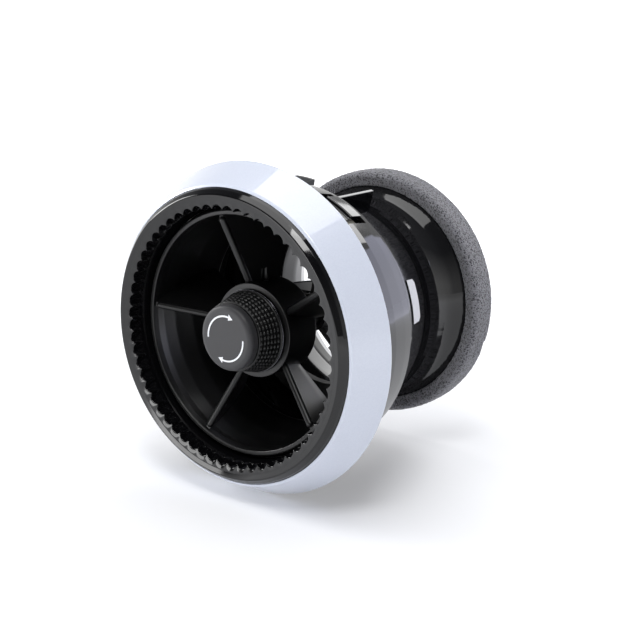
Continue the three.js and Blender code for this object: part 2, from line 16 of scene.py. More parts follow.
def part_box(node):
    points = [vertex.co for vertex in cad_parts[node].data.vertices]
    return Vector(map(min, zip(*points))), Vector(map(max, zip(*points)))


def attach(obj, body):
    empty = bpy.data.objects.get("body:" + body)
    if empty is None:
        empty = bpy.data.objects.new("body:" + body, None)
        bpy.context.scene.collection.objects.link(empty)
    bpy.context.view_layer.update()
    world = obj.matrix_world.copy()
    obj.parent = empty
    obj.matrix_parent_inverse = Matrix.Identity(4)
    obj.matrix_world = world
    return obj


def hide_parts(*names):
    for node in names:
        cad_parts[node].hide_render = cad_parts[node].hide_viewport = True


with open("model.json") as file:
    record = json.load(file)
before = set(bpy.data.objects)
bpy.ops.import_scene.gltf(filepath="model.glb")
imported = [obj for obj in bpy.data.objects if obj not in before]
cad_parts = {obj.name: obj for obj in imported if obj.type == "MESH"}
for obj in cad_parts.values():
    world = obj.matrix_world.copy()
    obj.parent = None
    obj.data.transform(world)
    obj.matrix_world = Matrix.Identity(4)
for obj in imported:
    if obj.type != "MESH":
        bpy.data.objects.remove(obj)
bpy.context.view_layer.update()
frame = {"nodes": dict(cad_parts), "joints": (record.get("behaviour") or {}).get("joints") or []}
scene = bpy.context.scene

MM = 0.001


def span(node):
    """Lowest and highest corner of a frame node, in millimetres."""
    low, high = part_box(node)
    return low / MM, high / MM


def joint_depth(name):
    """How far back a joint's axis lies."""
    joint = next(j for j in frame["joints"] if j["name"] == name)
    return joint["pos_m"][1] / MM


# ------------------------------------------------------------------ sizes

FACE_RADIUS = span("front_bezel")[1].x
TRIM_RADIUS = span("trim_ring")[1].x
TRIM_REAR = span("trim_ring")[1].y
LIP_REAR = span("outlet_housing")[1].y
DUCT_FRONT = span("rear_duct")[0].y
DUCT_REAR = span("rear_duct")[1].y
SWIVEL = joint_depth("tilt")
BALL_RADIUS = span("nozzle_barrel")[1].x
CREST = span("front_bezel")[0].y
FLOOR = span("trim_ring")[0].z

ROUND_STEPS = 288          # sides of a large ring
ARC_STEP = 15.0            # degrees between the points of a rounded corner
CREASE = 32.0              # degrees, above which an edge stays sharp

SEAT_GAP = 0.4             # between the ball and its seat
FLUTES = 60
FLUTE_HEIGHT = 1.55        # from the bottom of a flute to the tip of a ridge
SPOKES = 5
FIRST_SPOKE = 102.0
VANE_TWIST = -14.0
VANE_THICKNESS = 1.6
SPOKE_RADIUS = 1.2
HUB_RADIUS = 16.2
HUB_FRONT = 12.8
HUB_REAR = 27.0
TOP_ANGLE = 7.0            # the side that faces up once the outlet is installed
WINDOW_ANGLES = [TOP_ANGLE + offset for offset in (54, -54, 126, -126)]
CLIP_ANGLES = [TOP_ANGLE + offset for offset in (78, -78, 150, -150)]
RIB_ANGLE = 69.5
RIB_SIDE = 1.35            # from the plane through the axis to the rib's near side
RIB_THICKNESS = 1.3
LABEL_ANGLE = 13.0
FOAM_JOINT_ANGLE = -17.0
CAP_FRONT = -0.8
INK_HEIGHT = 0.06


# ------------------------------------------------------------------ outlines


def rounded(corners):
    """A closed outline from corners of (radius, depth, fillet radius)."""
    points = []
    count = len(corners)
    for i, (x, y, fillet) in enumerate(corners):
        here = Vector((x, y))
        before = Vector(corners[i - 1][:2]) - here
        after = Vector(corners[(i + 1) % count][:2]) - here
        if fillet <= 0:
            points.append((x, y))
            continue
        half = before.angle(after) / 2
        reach = min(fillet / math.tan(half), 0.48 * before.length, 0.48 * after.length)
        radius = reach * math.tan(half)
        middle = here + (before.normalized() + after.normalized()).normalized() * radius / math.sin(half)
        first = here + before.normalized() * reach - middle
        last = here + after.normalized() * reach - middle
        turn = first.angle_signed(last)
        steps = max(2, math.ceil(abs(math.degrees(turn)) / ARC_STEP))
        for step in range(steps + 1):
            arm = first.copy()
            arm.rotate(Matrix.Rotation(-turn * step / steps, 2))
            points.append(tuple(middle + arm))
    return points


def arc(centre, radius, start, end, steps):
    """Points on an arc in the (radius, depth) plane, with its angles in degrees."""
    points = []
    for step in range(steps + 1):
        angle = math.radians(start + (end - start) * step / steps)
        points.append((centre[0] + radius * math.cos(angle), centre[1] + radius * math.sin(angle)))
    return points


def on_ball(depth, radius=None):
    """Distance from the axis of a point at a depth on a sphere about the swivel centre."""
    radius = radius or BALL_RADIUS
    return math.sqrt(radius**2 - (depth - SWIVEL) ** 2)


def smooth_step(low, high, value):
    """From 0 at the low value to 1 at the high one, with soft ends."""
    share = min(1.0, max(0.0, (value - low) / (high - low)))
    return share * share * (3 - 2 * share)


# ------------------------------------------------------------------ meshes


def turned(outline, steps=ROUND_STEPS, start=0.0, sweep=360.0):
    """Vertices and faces of a closed outline turned about the Y axis."""
    closed = sweep > 359.9
    columns = steps if closed else steps + 1
    count = len(outline)
    verts = []
    for column in range(columns):
        angle = math.radians(start + sweep * column / steps)
        verts += [(r * math.cos(angle), y, r * math.sin(angle)) for r, y in outline]
    return verts, grid_faces(columns, count, closed, not closed)


def grid_faces(columns, count, closed, capped):
    """Faces between columns of points that each close on themselves."""
    faces = []
    for column in range(columns if closed else columns - 1):
        here = column * count
        there = (column + 1) % columns * count
        for i in range(count):
            j = (i + 1) % count
            faces.append((here + i, here + j, there + j, there + i))
    if capped:
        last = (columns - 1) * count
        faces.append(tuple(range(count)))
        faces.append(tuple(last + i for i in reversed(range(count))))
    return faces


def prism(outline, low, high, axis="y"):
    """A flat outline of (x, z) points given a thickness along Y, or of (x, y) points along Z."""
    count = len(outline)
    verts = []
    for level in (low, high):
        verts += [(a, level, b) if axis == "y" else (a, b, level) for a, b in outline]
    return verts, grid_faces(2, count, False, True)


def swung(shape, angle):
    """The shape turned about the Y axis, from +X towards +Z."""
    verts, faces = shape
    turn = Matrix.Rotation(-math.radians(angle), 3, "Y")
    return [tuple(turn @ Vector(v)) for v in verts], faces


def moved(shape, offset):
    """The shape shifted by an offset."""
    verts, faces = shape
    return [tuple(Vector(v) + Vector(offset)) for v in verts], faces


def upright(shape):
    """A shape turned about Y, stood up so that its axis runs along Z."""
    verts, faces = shape
    turn = Matrix.Rotation(math.radians(90), 3, "X")
    return [tuple(turn @ Vector(v)) for v in verts], faces


def solid(shape, name="tool"):
    """A closed mesh object in metres, with its faces turned outwards."""
    verts, faces = shape
    mesh = bpy.data.meshes.new(name)
    mesh.from_pydata([Vector(v) * MM for v in verts], [], faces)
    work = bmesh.new()
    work.from_mesh(mesh)
    bmesh.ops.remove_doubles(work, verts=work.verts, dist=0.001 * MM)
    bmesh.ops.recalc_face_normals(work, faces=work.faces)
    work.to_mesh(mesh)
    work.free()
    piece = bpy.data.objects.new(name, mesh)
    scene.collection.objects.link(piece)
    return piece


def apply_modifiers(piece):
    """The piece with its modifiers worked into its mesh."""
    graph = bpy.context.evaluated_depsgraph_get()
    made = bpy.data.meshes.new_from_object(piece.evaluated_get(graph))
    piece.modifiers.clear()
    piece.data = made
    return piece


def combined(piece, operation, *tools):
    """The piece joined with, cut by or kept within other solids."""
    for tool in tools:
        modifier = piece.modifiers.new("combine", "BOOLEAN")
        modifier.operation = operation
        modifier.solver = "EXACT"
        modifier.object = tool
    apply_modifiers(piece)
    for tool in tools:
        bpy.data.objects.remove(tool)
    return piece


def eased(piece, width, segments=3, angle=35.0):
    """The piece with its sharp edges rounded over."""
    modifier = piece.modifiers.new("ease", "BEVEL")
    modifier.width = width * MM
    modifier.segments = segments
    modifier.limit_method = "ANGLE"
    modifier.angle_limit = math.radians(angle)
    modifier.use_clamp_overlap = True
    return apply_modifiers(piece)


def shaded(piece, crease=CREASE):
    """Smooth shading, but for edges that bend more than the crease angle."""
    work = bmesh.new()
    work.from_mesh(piece.data)
    limit = math.radians(crease)
    for face in work.faces:
        face.smooth = True
    for edge in work.edges:
        edge.smooth = edge.calc_face_angle(0.0) < limit
    work.to_mesh(piece.data)
    work.free()
    modifier = piece.modifiers.new("flat_faces_stay_flat", "WEIGHTED_NORMAL")
    modifier.keep_sharp = True
    return piece


def place(piece, name, finish, body, nodes, crease=CREASE):
    """Names and finishes a piece, and hangs it on its body in place of frame nodes."""
    piece.name = name
    piece.data.name = name
    piece.data.materials.clear()
    piece.data.materials.append(finish)
    shaded(piece, crease)
    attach(piece, body)
    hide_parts(*nodes)
    return piece


# ------------------------------------------------------------------ material tools


def linear(code):
    """The linear colour that a shader takes, from an sRGB hex code."""
    channels = [int(code[i : i + 2], 16) / 255 for i in (1, 3, 5)]
    bright = [c / 12.92 if c <= 0.04045 else ((c + 0.055) / 1.055) ** 2.4 for c in channels]
    return (*bright, 1.0)


def per(size):
    """A pattern's scale, from the real size of one of its features."""
    return 1 / (size * MM)


def add_node(tree, kind, inputs=None, **settings):
    """A shader node with its settings, and its sockets set to values or linked to other nodes."""
    made = tree.nodes.new("ShaderNode" + kind)
    for name, value in settings.items():
        setattr(made, name, value)
    for name, value in (inputs or {}).items():
        if isinstance(value, bpy.types.NodeSocket):
            tree.links.new(value, made.inputs[name])
        else:
            made.inputs[name].default_value = value
    return made


def new_material(name):
    """An empty node material, and the place coordinates of its piece."""
    material = bpy.data.materials.new(name)
    material.use_nodes = True
    tree = material.node_tree
    tree.nodes.clear()
    place_of = add_node(tree, "TexCoord").outputs["Object"]
    return material, tree, place_of


# ------------------------------------------------------------------ materials


def pearl_painted_abs():
    """ABS sprayed with a pearl white and a clear lacquer: a cool white with a sharp, wet gloss,
    a faint sparkle of mica and the slight waviness that a sprayed coat dries with."""
    material, tree, at = new_material("pearl_lacquer_sprayed_on_abs")
    mica = add_node(tree, "TexVoronoi", {"Vector": at, "Scale": per(0.35)})
    sparkle = add_node(tree, "ValToRGB", {"Fac": mica.outputs["Color"]})
    sparkle.color_ramp.elements[0].color = linear("#CCD2E1")
    sparkle.color_ramp.elements[1].color = linear("#D2D8E6")
    peel = add_node(tree, "TexNoise", {"Vector": at, "Scale": per(2.5), "Detail": 1.0})
    waves = add_node(tree, "Bump", {"Height": peel.outputs["Fac"], "Strength": 0.02, "Distance": 0.1 * MM})
    shader = add_node(tree, "BsdfPrincipled", {
        "Base Color": sparkle.outputs["Color"],
        "Roughness": 0.28,
        "IOR": 1.5,
        "Coat Weight": 1.0,
        "Coat Roughness": 0.03,
        "Coat IOR": 1.5,
        "Coat Normal": waves.outputs["Normal"],
    })
    add_node(tree, "OutputMaterial", {"Surface": shader.outputs["BSDF"]})
    return material


def piano_black_abs():
    """Black ABS moulded in a mirror-polished tool: deep black with clear reflections,
    dulled in places by handling."""
    material, tree, at = new_material("piano_black_abs_moulded")
    smear = add_node(tree, "TexNoise", {"Vector": at, "Scale": per(9.0), "Detail": 4.0, "Roughness": 0.6})
    dull = add_node(tree, "MapRange", {
        "Value": smear.outputs["Fac"], "From Min": 0.35, "From Max": 0.75, "To Min": 0.04, "To Max": 0.11,
    })
    sink = add_node(tree, "TexNoise", {"Vector": at, "Scale": per(6.0), "Detail": 1.0})
    waves = add_node(tree, "Bump", {"Height": sink.outputs["Fac"], "Strength": 0.03, "Distance": 0.1 * MM})
    shader = add_node(tree, "BsdfPrincipled", {
        "Base Color": linear("#09090B"),
        "Roughness": dull.outputs["Result"],
        "IOR": 1.5,
        "Normal": waves.outputs["Normal"],
    })
    add_node(tree, "OutputMaterial", {"Surface": shader.outputs["BSDF"]})
    return material


def textured_black_pp(name, dark, light, roughness, grain):
    """Black polypropylene moulded in a spark-textured tool: an even, dry sheen with a fine grain."""
    material, tree, at = new_material(name)
    pits = add_node(tree, "TexNoise", {"Vector": at, "Scale": per(grain), "Detail": 3.0, "Roughness": 0.6})
    relief = add_node(tree, "Bump", {"Height": pits.outputs["Fac"], "Strength": 0.12, "Distance": 0.05 * MM})
    shade = add_node(tree, "TexNoise", {"Vector": at, "Scale": per(12.0), "Detail": 2.0})
    colour = add_node(tree, "ValToRGB", {"Fac": shade.outputs["Fac"]})
    colour.color_ramp.elements[0].color = linear(dark)
    colour.color_ramp.elements[1].color = linear(light)
    shader = add_node(tree, "BsdfPrincipled", {
        "Base Color": colour.outputs["Color"],
        "Roughness": roughness,
        "IOR": 1.49,
        "Normal": relief.outputs["Normal"],
    })
    add_node(tree, "OutputMaterial", {"Surface": shader.outputs["BSDF"]})
    return material


def soft_grey_cap():
    """Grey ABS with a soft-feel matt lacquer: a quiet mid grey that spreads its highlight."""
    material, tree, at = new_material("soft_feel_lacquer_on_abs")
    cloud = add_node(tree, "TexNoise", {"Vector": at, "Scale": per(3.0), "Detail": 3.0})
    colour = add_node(tree, "ValToRGB", {"Fac": cloud.outputs["Fac"]})
    colour.color_ramp.elements[0].color = linear("#242427")
    colour.color_ramp.elements[1].color = linear("#29292D")
    grain = add_node(tree, "TexNoise", {"Vector": at, "Scale": per(0.25), "Detail": 2.0})
    relief = add_node(tree, "Bump", {"Height": grain.outputs["Fac"], "Strength": 0.1, "Distance": 0.04 * MM})
    shader = add_node(tree, "BsdfPrincipled", {
        "Base Color": colour.outputs["Color"],
        "Roughness": 0.5,
        "IOR": 1.5,
        "Sheen Weight": 0.15,
        "Normal": relief.outputs["Normal"],
    })
    add_node(tree, "OutputMaterial", {"Surface": shader.outputs["BSDF"]})
    return material


def knurled_tpe():
    """Black thermoplastic elastomer moulded with a fine knurl: dry rubber whose small domes
    catch the light one by one."""
    material, tree, at = new_material("black_tpe_moulded_with_knurl")
    wear = add_node(tree, "TexNoise", {"Vector": at, "Scale": per(2.0), "Detail": 4.0})
    dull = add_node(tree, "MapRange", {
        "Value": wear.outputs["Fac"], "From Min": 0.3, "From Max": 0.7, "To Min": 0.34, "To Max": 0.5,
    })
    shader = add_node(tree, "BsdfPrincipled", {
        "Base Color": linear("#070708"),
        "Roughness": dull.outputs["Result"],
        "IOR": 1.5,
    })
    add_node(tree, "OutputMaterial", {"Surface": shader.outputs["BSDF"]})
    return material


def open_cell_foam():
    """Charcoal polyurethane foam, cut from a block: cells about 0.4 mm wide, whose walls are painted
    light grey as a painted glint round pores painted dark as painted shade. A second layer of cells, twice
    as coarse, lets them show."""
    material, tree, at = new_material("charcoal_polyurethane_foam_cut")
    cells = add_node(tree, "TexVoronoi", {"Vector": at, "Scale": per(0.8), "Randomness": 1.0})
    fine = add_node(tree, "TexVoronoi", {"Vector": at, "Scale": per(0.4), "Randomness": 1.0})
    distances = {0: cells.outputs["Distance"], 1: fine.outputs["Distance"]}
    shade = add_node(tree, "Math", distances, operation="ADD")
    # colour by distance within the cells: light walls are a painted glint, dark pores painted shade
    colour = add_node(tree, "ValToRGB", {"Fac": shade.outputs["Value"]})
    stops = colour.color_ramp.elements
    stops[0].position = 0.3
    stops[0].color = linear("#0C0C0E")
    stops[1].position = 1.15
    stops[1].color = linear("#7D7D83")
    middle = stops.new(0.75)
    middle.color = linear("#26262A")
    relief = add_node(tree, "Bump", {
        "Height": shade.outputs["Value"],
        "Strength": 0.7,
        "Distance": 0.5 * MM,
    })
    shader = add_node(tree, "BsdfPrincipled", {
        "Base Color": colour.outputs["Color"],
        "Roughness": 0.85,
        "Sheen Weight": 0.25,
        "Sheen Roughness": 0.5,
        "Normal": relief.outputs["Normal"],
    })
    add_node(tree, "OutputMaterial", {"Surface": shader.outputs["BSDF"]})
    return material


def label_paper():
    """A blank coated paper label: matt off-white with faint paper fibre."""
    material, tree, at = new_material("coated_paper_label")
    fibre = add_node(tree, "TexNoise", {"Vector": at, "Scale": per(0.4), "Detail": 5.0})
    colour = add_node(tree, "ValToRGB", {"Fac": fibre.outputs["Fac"]})
    colour.color_ramp.elements[0].color = linear("#C6C7CC")
    colour.color_ramp.elements[1].color = linear("#D2D3D8")
    shader = add_node(tree, "BsdfPrincipled", {
        "Base Color": colour.outputs["Color"],
        "Roughness": 0.55,
        "IOR": 1.45,
    })
    add_node(tree, "OutputMaterial", {"Surface": shader.outputs["BSDF"]})
    return material


def pad_printed_ink():
    """White ink, pad printed: an opaque, slightly satin film."""
    material, tree, at = new_material("white_pad_printing_ink")
    film = add_node(tree, "TexNoise", {"Vector": at, "Scale": per(0.3), "Detail": 2.0})
    colour = add_node(tree, "ValToRGB", {"Fac": film.outputs["Fac"]})
    colour.color_ramp.elements[0].color = linear("#EDF0F6")
    colour.color_ramp.elements[1].color = linear("#FAFBFF")
    shader = add_node(tree, "BsdfPrincipled", {
        "Base Color": colour.outputs["Color"],
        "Roughness": 0.4,
        "IOR": 1.5,
    })
    add_node(tree, "OutputMaterial", {"Surface": shader.outputs["BSDF"]})
    return material


def pressed_felt():
    """Grey wool felt: short fibres pressed flat, with no shine."""
    material, tree, at = new_material("grey_wool_felt_pressed")
    hair = add_node(tree, "TexNoise", {"Vector": at, "Scale": per(0.2), "Detail": 6.0, "Distortion": 1.5})
    colour = add_node(tree, "ValToRGB", {"Fac": hair.outputs["Fac"]})
    colour.color_ramp.elements[0].color = linear("#2E2E30")
    colour.color_ramp.elements[1].color = linear("#4C4C4F")
    relief = add_node(tree, "Bump", {"Height": hair.outputs["Fac"], "Strength": 0.6, "Distance": 0.1 * MM})
    shader = add_node(tree, "BsdfPrincipled", {
        "Base Color": colour.outputs["Color"],
        "Roughness": 0.95,
        "Sheen Weight": 0.4,
        "Normal": relief.outputs["Normal"],
    })
    add_node(tree, "OutputMaterial", {"Surface": shader.outputs["BSDF"]})
    return material


def moulded_acetal(name, dark, light):
    """Acetal as moulded: a dense, waxy plastic with a soft gloss and light gate flow marks."""
    material, tree, at = new_material(name)
    flow = add_node(tree, "TexNoise", {"Vector": at, "Scale": per(4.0), "Detail": 2.0, "Distortion": 0.8})
    colour = add_node(tree, "ValToRGB", {"Fac": flow.outputs["Fac"]})
    colour.color_ramp.elements[0].color = linear(dark)
    colour.color_ramp.elements[1].color = linear(light)
    shader = add_node(tree, "BsdfPrincipled", {
        "Base Color": colour.outputs["Color"],
        "Roughness": 0.32,
        "IOR": 1.48,
    })
    add_node(tree, "OutputMaterial", {"Surface": shader.outputs["BSDF"]})
    return material


def elastomer_lip():
    """A soft black elastomer moulded round the flaps: matt, with a slight bloom."""
    material, tree, at = new_material("black_elastomer_overmoulded")
    bloom = add_node(tree, "TexNoise", {"Vector": at, "Scale": per(5.0), "Detail": 3.0})
    colour = add_node(tree, "ValToRGB", {"Fac": bloom.outputs["Fac"]})
    colour.color_ramp.elements[0].color = linear("#1E1E20")
    colour.color_ramp.elements[1].color = linear("#2A2A2D")
    shader = add_node(tree, "BsdfPrincipled", {
        "Base Color": colour.outputs["Color"],
        "Roughness": 0.7,
        "IOR": 1.45,
    })
    add_node(tree, "OutputMaterial", {"Surface": shader.outputs["BSDF"]})
    return material


def turned_metal(name, dark, light):
    """Bar stock turned on a lathe: bright metal with fine rings left by the tool."""
    material, tree, at = new_material(name)
    rings = {"Vector": at, "Scale": per(0.6), "Distortion": 0.4}
    cuts = add_node(tree, "TexWave", rings, bands_direction="Y")
    tone = add_node(tree, "ValToRGB", {"Fac": cuts.outputs["Fac"]})
    tone.color_ramp.elements[0].color = linear(dark)
    tone.color_ramp.elements[1].color = linear(light)
    shader = add_node(tree, "BsdfPrincipled", {
        "Base Color": tone.outputs["Color"],
        "Metallic": 1.0,
        "Roughness": 0.28,
    })
    add_node(tree, "OutputMaterial", {"Surface": shader.outputs["BSDF"]})
    return material


def satin_chrome_plate():
    """ABS with a dark satin chrome plate: a thin line with a soft edge to its reflections."""
    material, tree, at = new_material("satin_chrome_plated_abs")
    brush = add_node(tree, "TexNoise", {"Vector": at, "Scale": per(0.5), "Detail": 3.0})
    rough = add_node(tree, "MapRange", {"Value": brush.outputs["Fac"], "To Min": 0.18, "To Max": 0.3})
    shader = add_node(tree, "BsdfPrincipled", {
        "Base Color": linear("#5E5E63"),
        "Metallic": 1.0,
        "Roughness": rough.outputs["Result"],
    })
    add_node(tree, "OutputMaterial", {"Surface": shader.outputs["BSDF"]})
    return material


PEARL = pearl_painted_abs()
GLOSS_BLACK = piano_black_abs()
SATIN_BLACK = textured_black_pp("satin_black_pp_moulded", "#0A0A0B", "#0F0F10", 0.33, 0.3)
MATT_BLACK = textured_black_pp("matt_black_pp_spark_textured", "#131315", "#19191B", 0.55, 0.5)
CAP_GREY = soft_grey_cap()
KNURLED_TPE = knurled_tpe()
FOAM = open_cell_foam()
PAPER = label_paper()
INK = pad_printed_ink()
FELT = pressed_felt()
NATURAL_ACETAL = moulded_acetal("natural_acetal_moulded", "#CFCABC", "#DDD9CD")
BLACK_ACETAL = moulded_acetal("black_acetal_moulded", "#17171A", "#1F1F22")
LIP_RUBBER = elastomer_lip()
STEEL = turned_metal("free_cutting_steel_turned", "#8E9298", "#B4B8BE")
BRASS = turned_metal("free_cutting_brass_turned", "#B98F3C", "#D6B05A")
CHROME = satin_chrome_plate()


# ------------------------------------------------------------------ face


def make_trim_ring():
    """The white ring: a cone that widens to the rear, with a turned-in rear edge."""
    inner = FACE_RADIUS - 0.1
    outline = rounded([
        (inner, 0.1, 0.15),
        (FACE_RADIUS + 0.9, 0.75, 0.6),
        (TRIM_RADIUS, TRIM_REAR - 0.5, 0.25),
        (TRIM_RADIUS - 0.35, TRIM_REAR, 0.2),
        (TRIM_RADIUS - 2.0, TRIM_REAR, 0.3),
        (inner, 4.0, 0.5),
    ])
    return place(solid(turned(outline)), "pearl_trim", PEARL, "housing", ["trim_ring"])


BEZEL_SLOPE = 0.19         # how fast the face falls back from its crest towards the flutes
CREST_RADIUS = 47.6
CREST_DEPTH = CREST + 0.7
FACE_STEP = 46.0           # where the bezel meets the fluted ring


def face_depth(radius):
    """How deep the face lies at a distance from the axis."""
    return CREST_DEPTH + 0.1 + BEZEL_SLOPE * (CREST_RADIUS - radius)


def make_bezel():
    """The gloss black lip inside the trim ring, with a thin edge all round its crest."""
    outline = rounded([
        (FACE_RADIUS - 0.15, 7.4, 0.2),
        (FACE_RADIUS - 0.15, 0.3, 0.2),
        (49.3, -0.8, 0.7),
        (48.0, -2.15, 0.6),
        (CREST_RADIUS, CREST_DEPTH, 0.4),
        (FACE_STEP, face_depth(FACE_STEP), 0),
        (FACE_STEP, -1.0, 0),
        (48.1, -0.6, 0.2),
        (48.5, 7.4, 0.2),
    ])
    lip = solid(turned(outline))
    return place(lip, "black_bezel", GLOSS_BLACK, "housing", ["front_bezel"])


def flute_wave(share):
    """From 0 at the tip of a ridge to 1 at the bottom of a flute, over one flute."""
    return math.sin(math.pi * share) ** 0.7


def make_fluted_ring():
    """The face's inner wall. Its front edge runs in and out with the flutes, which fade to the rear."""
    columns_per_flute = 12
    columns = FLUTES * columns_per_flute
    outer = FACE_STEP
    mean_edge = 43.75
    middle_of_wave = 0.6
    fillet = 0.45
    fillet_steps = 4
    narrowing = 0.55
    wall_depths = [0.0, 0.5, 1.0, 1.6, 2.2, 2.9, 3.6, 4.6]
    back = 8.3
    verts = []
    for column in range(columns):
        angle = math.radians(360 * column / columns)
        wave = FLUTE_HEIGHT * (flute_wave(column % columns_per_flute / columns_per_flute) - middle_of_wave)
        edge = mean_edge + wave
        between = (outer + edge + fillet) / 2
        profile = [(outer, back), (outer, face_depth(outer)), (between, face_depth(between))]
        for step in range(fillet_steps + 1):
            bend = math.radians(90 * step / fillet_steps)
            depth = face_depth(edge) + fillet * (1 - math.cos(bend))
            profile.append((edge + fillet * (1 - math.sin(bend)), depth))
        for depth in wall_depths:
            fade = 1 - smooth_step(0.2, 3.4, depth)
            base = mean_edge - narrowing * smooth_step(-2.0, 6.5, depth)
            profile.append((base + wave * fade, depth))
        profile += [(43.05, back - 0.3), (43.3, back)]
        verts += [(r * math.cos(angle), y, r * math.sin(angle)) for r, y in profile]
    count = len(verts) // columns
    wall = solid((verts, grid_faces(columns, count, True, False)))
    return place(wall, "fluted_wall", GLOSS_BLACK, "housing", ["fluted_ring"], crease=50)


# ------------------------------------------------------------------ housing


def seat_profile(front, step, count):
    """Points down the inner face of a ball seat, which keeps clear of the ball."""
    depths = [front + step * i for i in range(count)]
    return [(on_ball(depth, BALL_RADIUS + SEAT_GAP), depth) for depth in depths]


def make_ball_retainer():
    """The front half of the ball seat, and the four arms that snap into the housing's windows."""
    ring = solid(turned(seat_profile(9.2, 0.6, 10) + [(47.9, 14.6), (47.9, 9.2)]))
    arms = []
    for angle in WINDOW_ANGLES:
        arm = rounded([
            (46.5, 14.0, 0), (47.6, 14.0, 0), (47.4, 26.5, 0.6), (47.6, 29.2, 0.6), (48.75, 30.0, 0.6),
            (47.95, 35.7, 0.15), (46.5, 35.7, 0.3),
        ])
        arms.append(solid(turned(arm, 24, angle - 6.8, 13.6)))
    piece = eased(combined(ring, "UNION", *arms), 0.25, 2)
    return place(piece, "retainer_with_snap_arms", GLOSS_BLACK, "housing", ["ball_retainer"])


def make_housing():
    """The housing: a waisted shell with a rounded rear lip and four windows."""
    outline = rounded([
        (48.2, 8.2, 0.2),
        (FACE_RADIUS, 8.2, 0.2),
        (FACE_RADIUS, 14.0, 3.0),
        (49.8, 20.0, 8.0),
        (48.9, 27.0, 8.0),
        (47.7, 34.0, 6.0),
        (46.9, LIP_REAR - 0.9, 0.8),
        (46.2, LIP_REAR, 0.5),
        (44.4, LIP_REAR, 0.4),
        (44.3, 35.5, 0.5),
        (46.3, 33.5, 0.5),
        (46.3, 24.5, 0.3),
        (48.2, 24.5, 0.3),
    ])
    shell = solid(turned(outline))
    window = [(45.2, 24.2), (55.0, 24.2), (55.0, 36.0), (45.2, 36.0)]
    cutters = [solid(turned(window, 24, angle - 10.2, 20.4)) for angle in WINDOW_ANGLES]
    shell = combined(shell, "DIFFERENCE", *cutters)
    return place(shell, "housing_shell", GLOSS_BLACK, "housing", ["outlet_housing"])


def make_retention_clips():
    """The four wedges that hold the outlet in its panel."""
    for number, angle in enumerate(CLIP_ANGLES, 1):
        wedge = rounded([(48.7, 29.7, 0.2), (49.9, 34.6, 0.35), (49.9, 36.1, 0.2), (47.7, 36.1, 0.1)])
        piece = eased(solid(turned(wedge, 20, angle - 4.8, 9.0)), 0.2, 2)
        place(piece, f"retention_wedge_{number}", BLACK_ACETAL, "housing",
              [f"retention_clip_{number}"])


def make_rear_socket():
    """The rear half of the ball seat, and the felt ring that gives the swivel its drag."""
    ring = solid(turned(seat_profile(25.3, 0.77, 11) + [(46.0, 33.0), (46.0, 25.3)]))
    place(ring, "rear_ball_socket", NATURAL_ACETAL, "housing", ["rear_socket_ring"])
    felt = solid(turned(rounded([
        (BALL_RADIUS + SEAT_GAP + 0.02, 22.6, 0.2),
        (46.0, 22.6, 0.2),
        (46.0, 25.0, 0.2),
        (44.3, 25.0, 0.2),
    ])))
    place(felt, "friction_felt", FELT, "housing", ["felt_ring"])


# ------------------------------------------------------------------ duct


def make_duct():
    """The duct: a cone, a smooth neck and a flared end, with the thin locating rib on top."""
    outline = rounded([
        (43.9, DUCT_FRONT, 0.2),
        (43.9, 40.5, 2.0),
        (43.2, 44.0, 4.0),
        (38.9, 59.0, 6.0),
        (36.6, 65.0, 12.0),
        (36.0, 71.0, 14.0),
        (36.9, 77.5, 10.0),
        (40.4, 82.9, 1.0),
        (40.6, 86.0, 1.0),
        (41.5, DUCT_REAR, 0.4),
        (39.9, DUCT_REAR, 0.4),
        (35.6, 83.3, 6.0),
        (33.0, 76.0, 12.0),
        (32.7, 68.0, 10.0),
        (34.4, 61.4, 3.0),
        (36.6, 58.4, 1.0),
        (41.2, 43.5, 4.0),
        (42.1, DUCT_FRONT, 0.2),
    ])
    shell = solid(turned(outline))
    place(shell, "rear_duct_shell", GLOSS_BLACK, "housing", ["rear_duct"])
    plate = [(36.4, LIP_REAR + 0.4), (45.0, LIP_REAR + 0.4), (45.0, 61.8), (36.4, 63.0)]
    rib = solid(swung(prism(plate, RIB_SIDE, RIB_SIDE + RIB_THICKNESS, "z"), RIB_ANGLE))
    inside_the_duct = solid(turned([
        (0.0, 33.0), (43.0, 33.0), (42.6, 41.0), (41.9, 44.2),
        (37.4, 59.6), (36.6, 60.6), (34.9, 62.4), (34.0, 66.0), (0.0, 66.0),
    ]))
    rib = eased(combined(rib, "DIFFERENCE", inside_the_duct), 0.2, 3)
    place(rib, "rear_duct_rib", GLOSS_BLACK, "housing", ["rear_duct"])


def make_label():
    """A paper strip with two cut corners, laid on the duct's front cone."""
    columns = 24
    front, rear = 46.0, 52.0
    cone_radius = 42.78        # the cone's radius at the strip's front edge
    cone_slope = 0.2634
    lowest, highest = 0.12, 0.3
    cut = 1.2
    half_width = 10.0
    half_length = math.radians(half_width) * 42
    verts = []
    for column in range(columns + 1):
        share = column / columns
        angle = math.radians(LABEL_ANGLE - half_width + 2 * half_width * share)
        to_end = half_length * (1 - abs(share - 0.5) * 2)
        back = rear - max(0.0, cut - to_end)
        for lift, depth in ((lowest, front), (lowest, back), (highest, back), (highest, front)):
            radius = cone_radius - (depth - front) * cone_slope + lift
            verts.append((radius * math.cos(angle), depth, radius * math.sin(angle)))
    strip = solid((verts, grid_faces(columns + 1, 4, False, True)))
    return place(strip, "blank_label", PAPER, "housing", ["duct_label"])


